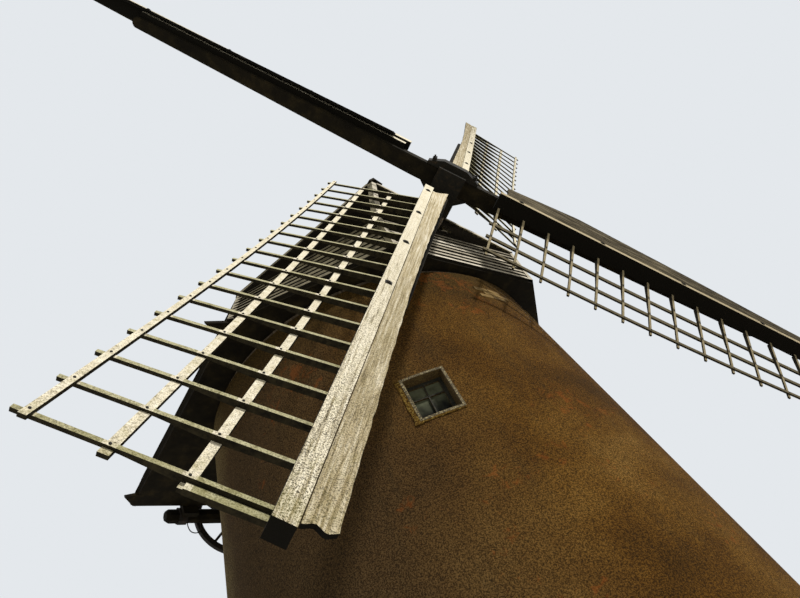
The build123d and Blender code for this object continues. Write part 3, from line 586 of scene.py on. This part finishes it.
# Boards end below a facet's point and below the ridge, at about these shares of its height.
point_share = 0.985
ridge_share = 0.955
hip_board_width = Vector((0.0, 0.090, 0.0))
front_wall = (nose_left_foot, other_side(nose_left_foot), other_side(nose_left), nose_left)
rear_wall = (other_side(rear_left_foot), rear_left_foot, rear_left, other_side(rear_left))
left_roof = (rear_left, shoulder_left + hip_board_width, ridge_tip + hip_board_width, ridge_back)
for name, corners, seed, top_share in (
        ("front_wall_boards", front_wall, 11, 1.0),
        ("left_canted_boards", (shoulder_left_foot, nose_left_foot, nose_left, shoulder_left), 12, 1.0),
        ("left_wall_boards", (rear_left_foot, shoulder_left_foot, shoulder_left, rear_left), 14, 1.0),
        ("rear_wall_boards", rear_wall, 16, 1.0),
        ("gable_boards", (other_side(rear_left), rear_left, ridge_back, ridge_back), 17, point_share),
        ("left_canted_roof_boards", (shoulder_left, nose_left, ridge_tip, ridge_tip), 19, point_share),
        ("left_roof_boards", left_roof, 21, ridge_share)):
    boarded_facet(name, corners, seed, top_share)
    if name.startswith("left"):
        mirrored = [other_side(corners[index]) for index in (1, 0, 3, 2)]
        boarded_facet(name.replace("left", "right"), mirrored, seed + 1, top_share)

# The front of the roof has a hole for the windshaft, so its boards are cut round it on both sides.
# They are the same lapped softwood boards, short beside the shaft and whole below and above it.
hole_low = 0.115
hole_high = 0.365
hole_half_width = 0.235
front_roof = bmesh.new()
front_tones = []
front_chance = random.Random(18)


def front_roof_point(across, share):
    """A point of the front roof: right of its middle in metres, and up it as a share of its height."""
    return Vector((0.0, nose_front, cap_knee)).lerp(ridge_tip, share) + Vector((across, 0.0, 0.0))


foot_edge = front_roof_point(nose_half_width, 0.0)
low_edge = front_roof_point(nose_half_width * (1.0 - hole_low), hole_low)
high_edge = front_roof_point(nose_half_width * (1.0 - hole_high), hole_high)
low_hole = front_roof_point(hole_half_width, hole_low)
high_hole = front_roof_point(hole_half_width, hole_high)
for corners, top_share in (
        ((other_side(foot_edge), foot_edge, low_edge, other_side(low_edge)), 1.0),
        ([other_side(corner) for corner in (low_edge, low_hole, high_hole, high_edge)], 1.0),
        ((low_hole, low_edge, high_edge, high_hole), 1.0),
        ((other_side(high_edge), high_edge, ridge_tip, ridge_tip), point_share)):
    lay_boards(front_roof, front_tones, *corners, front_chance, top_share)
boarded_piece(front_roof, "front_roof_boards", front_tones)

# Corner strips: thin boards of the same softwood, nailed over the ends of the lapped boards.
# They cover each corner of the cap, and stand higher on the slopes at its front.
strip_width = 0.055
wall_lift = 0.030
slope_lift = 0.045
strip_crown = 1.15
strip_tone = 0.7
corner_strips = bmesh.new()


def add_corner_strip(bm, low, high, left_normal, right_normal, lift):
    """Adds a folded strip over the corner between two facets."""
    along = (high - low).normalized()
    wings = []
    for normal, other_normal in ((left_normal, right_normal), (right_normal, left_normal)):
        edge = normal.cross(along).normalized() * strip_width
        if edge.dot(other_normal) > 0:
            edge = -edge
        wings.append((edge, edge + normal * lift))
    middle = (left_normal + right_normal).normalized()
    profile = [*wings[0], middle * lift * strip_crown, *wings[1][::-1], middle * -board_seat]
    ends = [[bm.verts.new(end + offset) for offset in profile] for end in (low, high)]
    count = len(profile)
    for index in range(count):
        following = (index + 1) % count
        bm.faces.new((ends[0][index], ends[0][following], ends[1][following], ends[1][index]))
    bm.faces.new(ends[0][::-1])
    bm.faces.new(ends[1])


def facet_normal(first, second, third):
    """Outward normal of a facet whose corners run anticlockwise."""
    return (second - first).cross(third - first).normalized()


front_normal = Vector((0.0, -1.0, 0.0))
front_roof_normal = facet_normal(nose_left, other_side(nose_left), ridge_tip)
canted_normal = facet_normal(shoulder_left_foot, nose_left_foot, nose_left)
canted_roof_normal = facet_normal(shoulder_left, nose_left, ridge_tip)
side_normal = facet_normal(rear_left_foot, shoulder_left_foot, shoulder_left)
side_roof_normal = facet_normal(rear_left, shoulder_left, ridge_tip)
rear_normal = Vector((0.0, 1.0, 0.0))
for *strip, lift in (
        (nose_left_foot, nose_left, front_normal, canted_normal, wall_lift),
        (nose_left, nose_left.lerp(ridge_tip, 0.96), front_roof_normal, canted_roof_normal, slope_lift),
        (shoulder_left_foot, shoulder_left, canted_normal, side_normal, wall_lift),
        (shoulder_left, shoulder_left.lerp(ridge_tip, 0.97), canted_roof_normal, side_roof_normal,
         slope_lift),
        (rear_left_foot, rear_left, side_normal, rear_normal, wall_lift),
        (rear_left, rear_left.lerp(ridge_back, 0.93), side_roof_normal, rear_normal, wall_lift)):
    add_corner_strip(corner_strips, *strip, lift)
    add_corner_strip(corner_strips, *[other_side(vector) for vector in strip], lift)
boarded_piece(corner_strips, "corner_strips", [strip_tone] * len(corner_strips.verts))
dress(silver_boards, "cap_front_wall", "cap_canted_walls", "cap_side_walls", "cap_rear_wall",
      "cap_front_roof", "cap_left_canted_roof", "cap_right_canted_roof", "cap_left_roof",
      "cap_right_roof", "hip_boards")

# Sails: pitch pine whips, boards and bars, once painted white and now peeling to grey timber.
# Paint stays in long flakes along the grain, with less of it towards the tips, and olive lichen is
# thickest there. The sides and rear are near black with old tar and painted shade.
hub = Vector((0.0, -2.823, 9.224))
shaft_tilt = radians(9.0)
shaft_out = Vector((0.0, -cos(shaft_tilt), sin(shaft_tilt)))
sail_angle = -36.67
sail_length = 7.8
stock_depth = 0.250


def sail_place(number):
    """Matrix of a sail: x out along it, y to its leading side and z out of its front."""
    turn = radians(sail_angle + 90.0 * number)
    along = Vector((sin(turn), -sin(shaft_tilt) * cos(turn), -cos(shaft_tilt) * cos(turn)))
    leading = shaft_out.cross(along)
    forward = stock_depth if number % 2 == 1 else 0.0
    matrix = Matrix((along, leading, shaft_out)).transposed().to_4x4()
    matrix.translation = hub + shaft_out * forward
    return matrix


rail_offsets = (0.659, 1.030, 1.406)
rail_reach = 0.034
paint_loss = 0.022
pit_size = 0.00909
growth_size = 0.1111


def peeling_timber(name, number, grain, paint_left, timber, paint, back, lichen, pitting, tones):
    """Timber of a sail, painted in front, with its sides and back near black with tar and painted shade
    in the colour back. Grain is the size of its pattern along the sail, across it and through it. Lichen
    is its greatest share, as a grey, and the two tones tint the timber beside the rails and on them."""
    material, tree, place = new_material(name)
    axes = sail_place(number)
    local = add_node(tree, "ShaderNodeMapping", {
        "Vector": place, "Location": axes.translation, "Rotation": axes.to_euler()}, vector_type="TEXTURE")
    stretched = add_node(tree, "ShaderNodeMapping", {
        "Vector": local, "Scale": [1.0 / size for size in grain]})
    fibres = add_node(tree, "ShaderNodeTexNoise", {
        "Vector": stretched, "Scale": 1.0, "Detail": 9.0, "Roughness": 0.75})
    flakes = add_node(tree, "ShaderNodeTexNoise", {
        "Vector": stretched, "Scale": 1.0 / 1.2, "Detail": 8.0, "Roughness": 0.8})
    bare = add_node(tree, "ShaderNodeValToRGB", {"Fac": fibres}, stops=(
        (0.36, "#4b422e"), (0.46, timber), (0.66, "#cdc3a8")))
    coat = add_node(tree, "ShaderNodeValToRGB", {"Fac": fibres}, stops=(
        (0.28, "#bab096"), (0.44, paint), (0.62, "#fbf6e6")))
    along = add_node(tree, "ShaderNodeSeparateXYZ", {0: local}).outputs["X"]
    wear = add_node(tree, "ShaderNodeMath", {0: along, 1: paint_loss}, operation="MULTIPLY")
    left = add_node(tree, "ShaderNodeMath", {0: flakes, 1: wear}, operation="SUBTRACT")
    paint_mask = add_node(tree, "ShaderNodeValToRGB", {"Fac": left}, stops=(
        (paint_left[0], "#000000"), (paint_left[1], "#ffffff")))
    painted = add_node(tree, "ShaderNodeMixRGB", {"Fac": paint_mask, "Color1": bare, "Color2": coat})
    pits = add_node(tree, "ShaderNodeTexNoise", {
        "Vector": place, "Scale": 1.0 / pit_size, "Detail": 3.0, "Roughness": 0.85})
    pit_tint = add_node(tree, "ShaderNodeValToRGB", {"Fac": pits}, stops=(
        (0.43, "#29250f"), (0.52, "#ffffff")))
    pit_share = add_node(tree, "ShaderNodeMath", {0: along, 1: pitting / sail_length},
                         operation="MULTIPLY", use_clamp=True)
    pitted = add_node(tree, "ShaderNodeMixRGB", {
        "Fac": pit_share, "Color1": painted, "Color2": pit_tint}, blend_type="MULTIPLY")
    growth = add_node(tree, "ShaderNodeTexNoise", {
        "Vector": place, "Scale": 1.0 / growth_size, "Detail": 6.0, "Roughness": 0.7})
    # Lichen is thickest from 7.4 m out.
    tip_share = add_node(tree, "ShaderNodeMath", {0: along, 1: 0.6, 2: -4.45},
                         operation="MULTIPLY_ADD", use_clamp=True)
    growth_sum = add_node(tree, "ShaderNodeMath", {0: growth, 1: tip_share}, operation="ADD")
    growth_mask = add_node(tree, "ShaderNodeValToRGB", {"Fac": growth_sum}, stops=(
        (0.53, "#000000"), (0.66, lichen)))
    lichened = add_node(tree, "ShaderNodeMixRGB", {
        "Fac": growth_mask, "Color1": pitted, "Color2": linear("#8a8544")})
    off_axis = add_node(tree, "ShaderNodeVectorMath", {0: local, 1: (0.0, 1.0, 1.0)}, operation="MULTIPLY")
    offset = add_node(tree, "ShaderNodeVectorMath", {0: off_axis}, operation="LENGTH")
    on_rails = 0.0
    for rail in rail_offsets:
        on_rail = add_node(tree, "ShaderNodeMath", {0: offset.outputs["Value"], 1: rail, 2: rail_reach},
                           operation="COMPARE")
        on_rails = add_node(tree, "ShaderNodeMath", {0: on_rail, 1: on_rails}, operation="MAXIMUM")
    rail_tone = add_node(tree, "ShaderNodeMixRGB", {
        "Fac": on_rails, "Color1": linear(tones[0]), "Color2": linear(tones[1])})
    toned = add_node(tree, "ShaderNodeMixRGB", {
        "Fac": 1.0, "Color1": lichened, "Color2": rail_tone}, blend_type="MULTIPLY")
    # Painted shade: every face that doesn't look to the front takes the near-black back colour.
    shaded_back_tint = add_node(tree, "ShaderNodeValToRGB", {"Fac": fibres}, stops=((0.35, "#0e0c08"), (0.62, back)))
    facing = add_node(tree, "ShaderNodeVectorMath", {
        0: place.node.outputs["Normal"], 1: shaft_out}, operation="DOT_PRODUCT")
    in_front = add_node(tree, "ShaderNodeMath", {0: facing.outputs["Value"], 1: 0.7},
                        operation="GREATER_THAN")
    front_and_shaded_sides = add_node(tree, "ShaderNodeMixRGB", {"Fac": in_front, "Color1": shaded_back_tint, "Color2": toned})
    height = add_node(tree, "ShaderNodeMixRGB", {"Fac": 0.4, "Color1": paint_mask, "Color2": fibres})
    bump = add_node(tree, "ShaderNodeBump", {"Height": height, "Strength": 0.5, "Distance": 0.003})
    surface = add_node(tree, "ShaderNodeBsdfPrincipled", {
        "Base Color": front_and_shaded_sides, "Roughness": 0.8, "Specular IOR Level": 0.1, "Normal": bump})
    add_node(tree, "ShaderNodeOutputMaterial", {"Surface": surface})
    return material


board_grain_size = (0.4762, 0.01852, 0.01852)
bar_grain_size = (0.05556,) * 3
bare_tones = ("#ffffff", "#ffffff")
bar_tones = ("#c8cab6", "#ffffff")
whip_tones = (bare_tones, ("#c6beae", "#c6beae"), bare_tones, bare_tones)
lattice_tones = (bar_tones, ("#a39c8c", "#6f6a5e"), bar_tones, bar_tones)
for number in range(4):
    label = str(number + 1)
    whip_paint = peeling_timber(
        "whip_paint_" + label, number, board_grain_size, paint_left=(0.26, 0.36), timber="#a69b7f",
        paint="#ebe4cf", back="#0f0d08", lichen="#8c8c8c", pitting=1.0, tones=whip_tones[number])
    dress(whip_paint, "whip_" + label)
    bar_paint = peeling_timber(
        "bar_paint_" + label, number, bar_grain_size, paint_left=(0.19, 0.31), timber="#a39b7e",
        paint="#e9e2cc", back="#332e20", lichen="#a4a4a4", pitting=0.6, tones=lattice_tones[number])
    dress(bar_paint, "sail_lattice_" + label)

# Stocks: two squared pine timbers through the head of the windshaft, tarred and near black with painted
# shade, one before the other.
# Each is full size at the head, and is planed thinner towards its ends, at the back and leading side.
stock_half_width = 0.095
stock_end_half_width = 0.020
stock_parallel = 0.500
stock_full_reach = 4.755
stock_reach = 4.800
stock_end_depth = 0.150
stock_chamfer = 0.045
stock_arris = 0.010
stock_arm = (
    (stock_reach, stock_end_half_width, stock_end_depth - stock_chamfer, stock_chamfer),
    (stock_full_reach, stock_end_half_width, stock_end_depth, 0.0),
    (stock_parallel, stock_half_width, stock_depth, 0.0))
stock_sections = [(-1, *section) for section in stock_arm] + [(1, *section) for section in stock_arm[::-1]]
for number, name in ((0, "stock_inner"), (1, "stock_outer")):
    stock = bmesh.new()
    loops = []
    for end, reach, leading, back, front in stock_sections:
        edges = (-end * stock_half_width, end * leading)
        corners = [Vector((end * reach, edge, level)) for edge, level in (
            (min(edges), -front), (max(edges), -front), (max(edges), -back), (min(edges), -back))]
        loops.append([stock.verts.new(sail_place(number) @ corner) for corner in corners])
    for low, high in zip(loops, loops[1:]):
        for side in range(4):
            following = (side + 1) % 4
            stock.faces.new((low[side], low[following], high[following], high[side]))
    stock.faces.new(loops[0][::-1])
    stock.faces.new(loops[-1])
    bmesh.ops.bevel(stock, geom=stock.edges[:], offset=stock_arris, segments=2, affect="EDGES")
    stock_piece = make_piece(stock, name + "_timber", tarred_and_shaded_pine, "sails")
    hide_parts(name)

# Leading boards: one wide sawn board to each sail, nailed to the whip's ledge, with little paint left.
# Long grey and tan streaks follow the grain, the edges are worn ragged and the tips wavy.
whip_edge = 0.150
whip_front = 0.110
whip_tip_front = 0.085
whip_taper_start = 5.500
whip_end = 7.790
board_joint = 0.006
board_thickness = 0.030
narrow_edges = ((0.940, 0.045), (3.100, 0.000), (4.400, -0.015), (5.500, -0.009), (7.760, 0.023))
wide_edges = ((0.780, 0.030), (1.850, 0.145), (3.680, 0.085), (5.130, 0.010), (7.760, 0.020))
twist_start = 0.389
twist_length = 7.220
root_twist = 16.79
twist_loss = 11.93
twist_bow = 16.885


def weather(radius):
    """Twist of the sail at a radius: the angle of its face to the plane that it turns in."""
    share = (radius - twist_start) / twist_length
    return radians(root_twist - twist_loss * share + twist_bow * share * (1 - share))


def whip_face(radius):
    """Height of the whip's front at a radius."""
    share = max(0.0, (radius - whip_taper_start) / (whip_end - whip_taper_start))
    return whip_front + (whip_tip_front - whip_front) * share


def board_corners(edges, radius):
    """The inner and the outer corner of the board's front at a radius, as points of the sail."""
    for (low, low_edge), (high, high_edge) in zip(edges, edges[1:]):
        if radius <= high + 0.001:
            ends = []
            for end, edge in ((low, low_edge), (high, high_edge)):
                face = whip_face(end)
                ends.append((Vector((end, -whip_edge, face)),
                             Vector((end, edge, face + (edge + whip_edge) * tan(weather(end))))))
            share = (radius - low) / (high - low)
            return ends[0][0].lerp(ends[1][0], share), ends[0][1].lerp(ends[1][1], share)


board_columns = 8
board_rows = 90
ragged_depth = 0.007
tip_wave = 0.016
root_wave = 0.012
board_chance = random.Random(31)
board_timbers = ("#988b6a", "#403a2f", "#9c8d6e", "#7d7460")
board_paints = ("#cdbf9d", "#59523f", "#c0b392", "#a79f8c")
board_tones = (bare_tones, ("#8e887c", "#8e887c"), bare_tones, bare_tones)
for number in range(4):
    edges = wide_edges if number == 1 else narrow_edges
    first = edges[0][0]
    last = edges[-1][0]
    frame_here = sail_place(number)
    board = bmesh.new()
    layers = []
    for thickness in (0.0, board_thickness):
        rows = []
        for row in range(board_rows + 1):
            ragged = board_chance.uniform(0.0, ragged_depth)
            line = []
            for column in range(board_columns + 1):
                across = column / board_columns
                tip = tip_wave * (1 - cos(across * 9.0 + number)) if row == board_rows else 0.0
                root = root_wave * (1 - cos(across * 7.0 + number)) if row == 0 else 0.0
                radius = first + (last - first) * row / board_rows - tip + root
                inner, outer = board_corners(edges, radius)
                inner.y += board_joint
                outer.y -= ragged
                point = inner.lerp(outer, across)
                point.z -= thickness + 0.0005
                line.append(board.verts.new(frame_here @ point))
            rows.append(line)
        layers.append(rows)
    front, rear = layers
    for row in range(board_rows):
        for column in range(board_columns):
            for layer, way in ((front, 1), (rear, -1)):
                corners = (layer[row][column], layer[row + 1][column], layer[row + 1][column + 1],
                           layer[row][column + 1])
                board.faces.new(corners[::way])
        for column in (0, board_columns):
            board.faces.new((front[row][column], rear[row][column], rear[row + 1][column],
                             front[row + 1][column]))
    for row in (0, board_rows):
        for column in range(board_columns):
            board.faces.new((front[row][column], front[row][column + 1], rear[row][column + 1],
                             rear[row][column]))
    board_timber = peeling_timber(
        "board_timber_" + str(number + 1), number, board_grain_size, paint_left=(0.28, 0.54),
        timber=board_timbers[number], paint=board_paints[number], back="#100e09", lichen="#5a5a5a",
        pitting=0.8, tones=board_tones[number])
    board_piece = make_piece(board, "leading_board_" + str(number + 1), board_timber, "sails")
    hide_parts("leading_boards")

# Bolts: wrought iron, black, through each whip into its stock, and a nail where a rail crosses a bar.
# Square nuts hold the clamp in front of the windshaft's head.
bolt_radii = (1.010, 2.250, 3.500, 4.730)
bolt_edge = -0.205
washer_size = (0.060, 0.060, 0.006)
bar_count = 19
first_bar = 0.769
bar_spacing = 0.380
rail_lifts = ((rail_offsets[2], 0.020), (rail_offsets[0], 0.0), (rail_offsets[1], 0.0))
nail_radius = 0.009
nail_height = 0.007
nut_size = 0.036
nut_height = 0.014


def add_rod(bm, place, radius, length, sides):
    """Adds a short round rod that stands up from a place."""
    bmesh.ops.create_cone(
        bm, cap_ends=True, segments=sides, radius1=radius, radius2=radius * 0.85, depth=length,
        matrix=place @ Matrix.Translation((0.0, 0.0, length / 2)))


sail_bolts = bmesh.new()
for number in range(4):
    sail = sail_place(number)
    for radius in bolt_radii:
        spot = sail @ Matrix.Translation((radius, bolt_edge, whip_face(radius) - 0.001))
        turned = spot @ Matrix.Rotation(radius * 5.0, 4, "Z")
        add_block(sail_bolts, turned @ Matrix.Translation((0.0, 0.0, 0.002)), washer_size)
        add_block(sail_bolts, turned @ Matrix.Translation((0.0, 0.0, nut_height / 2)),
                  (nut_size, nut_size, nut_height))
        add_rod(sail_bolts, turned, nail_radius, nut_height * 1.3, 8)
    for bar in range(bar_count):
        radius = first_bar + bar * bar_spacing
        turn = weather(radius)
        for across, lift in rail_lifts:
            sideways = -across * cos(turn) - lift * sin(turn)
            point = Vector((radius, sideways, -across * sin(turn) + lift * cos(turn)))
            spot = sail @ Matrix.Translation(point) @ Matrix.Rotation(turn, 4, "X")
            add_rod(sail_bolts, spot @ Matrix.Translation((0.0, 0.0, -0.002)), nail_radius, nail_height, 6)
clamp = sail_place(1)
clamp_nut = 0.055
clamp_nut_along = 0.300
clamp_nut_across = 0.055
clamp_face = 0.071
clamp_slope = atan(0.085 / 0.210)
for side in (-1, 1):
    for across in (-clamp_nut_across, clamp_nut_across):
        spot = clamp @ Matrix.Translation((side * clamp_nut_along, across, clamp_face))
        spot = spot @ Matrix.Rotation(side * clamp_slope, 4, "Y")
        nut = spot @ Matrix.Translation((0.0, 0.0, clamp_nut / 3))
        add_block(sail_bolts, nut, (clamp_nut, clamp_nut, clamp_nut * 2 / 3), 0.002, board_chance)
        add_rod(sail_bolts, spot, clamp_nut / 4, clamp_nut * 1.1, 8)
make_piece(sail_bolts, "sail_bolts", black_iron, "sails")

# Winding wheel: cast iron, left to rust, on a pin in the beam behind the cap.
# The rust is matt and almost black, with redder spots.
rusted_iron = mottled_material(
    "rusted_cast_iron", grain=(0.05556,) * 3, noise={"Detail": 8.0, "Roughness": 0.7},
    stops=((0.36, "#0c0a07"), (0.54, "#17120c"), (0.74, "#3d2416")),
    bump={"Strength": 0.5, "Distance": 0.003}, shader={"Roughness": 0.85})
dress(rusted_iron, "winding_wheel")

# Straps: flat iron bent round the beam at each bracket, with a loop of old wire left hanging from one.
# Both are black with rust.
beam_centre_y = 2.750
beam_height = 7.905
beam_half = 0.095
strap_places = (-1.965, 1.965)
strap_width = 0.125
strap_thickness = 0.020
winding_iron = bmesh.new()
for strap_x in strap_places:
    for face in range(8):
        turn = Matrix.Rotation(radians(45.0 * face), 4, "X")
        spot = Matrix.Translation((strap_x, beam_centre_y, beam_height)) @ turn
        across = 2 * (beam_half + strap_thickness) * tan(pi / 8)
        add_block(winding_iron, spot @ Matrix.Translation((0.0, 0.0, beam_half + strap_thickness / 2)),
                  (strap_width, across, strap_thickness))
wire_radius = 0.009
wire_steps = 16
loop_start = -1.890
loop_width = 0.200
loop_drop = 0.190
loop_top = beam_height - beam_half * 0.9
wire_loop = []
for step in range(wire_steps + 1):
    share = step / wire_steps
    across = loop_start + loop_width * (share - 0.12 * sin(share * 2 * pi))
    drop = loop_drop * max(0.0, sin(share * pi)) ** 0.6
    wire_loop.append(Vector((across, beam_centre_y + 0.02, loop_top - drop)))
for low, high in zip(wire_loop, wire_loop[1:]):
    spot = (high - low).to_track_quat("Z", "Y").to_matrix().to_4x4()
    spot.translation = low
    add_rod(winding_iron, spot, wire_radius, (high - low).length * 1.1, 6)
make_piece(winding_iron, "winding_iron", rusted_iron, "cap")
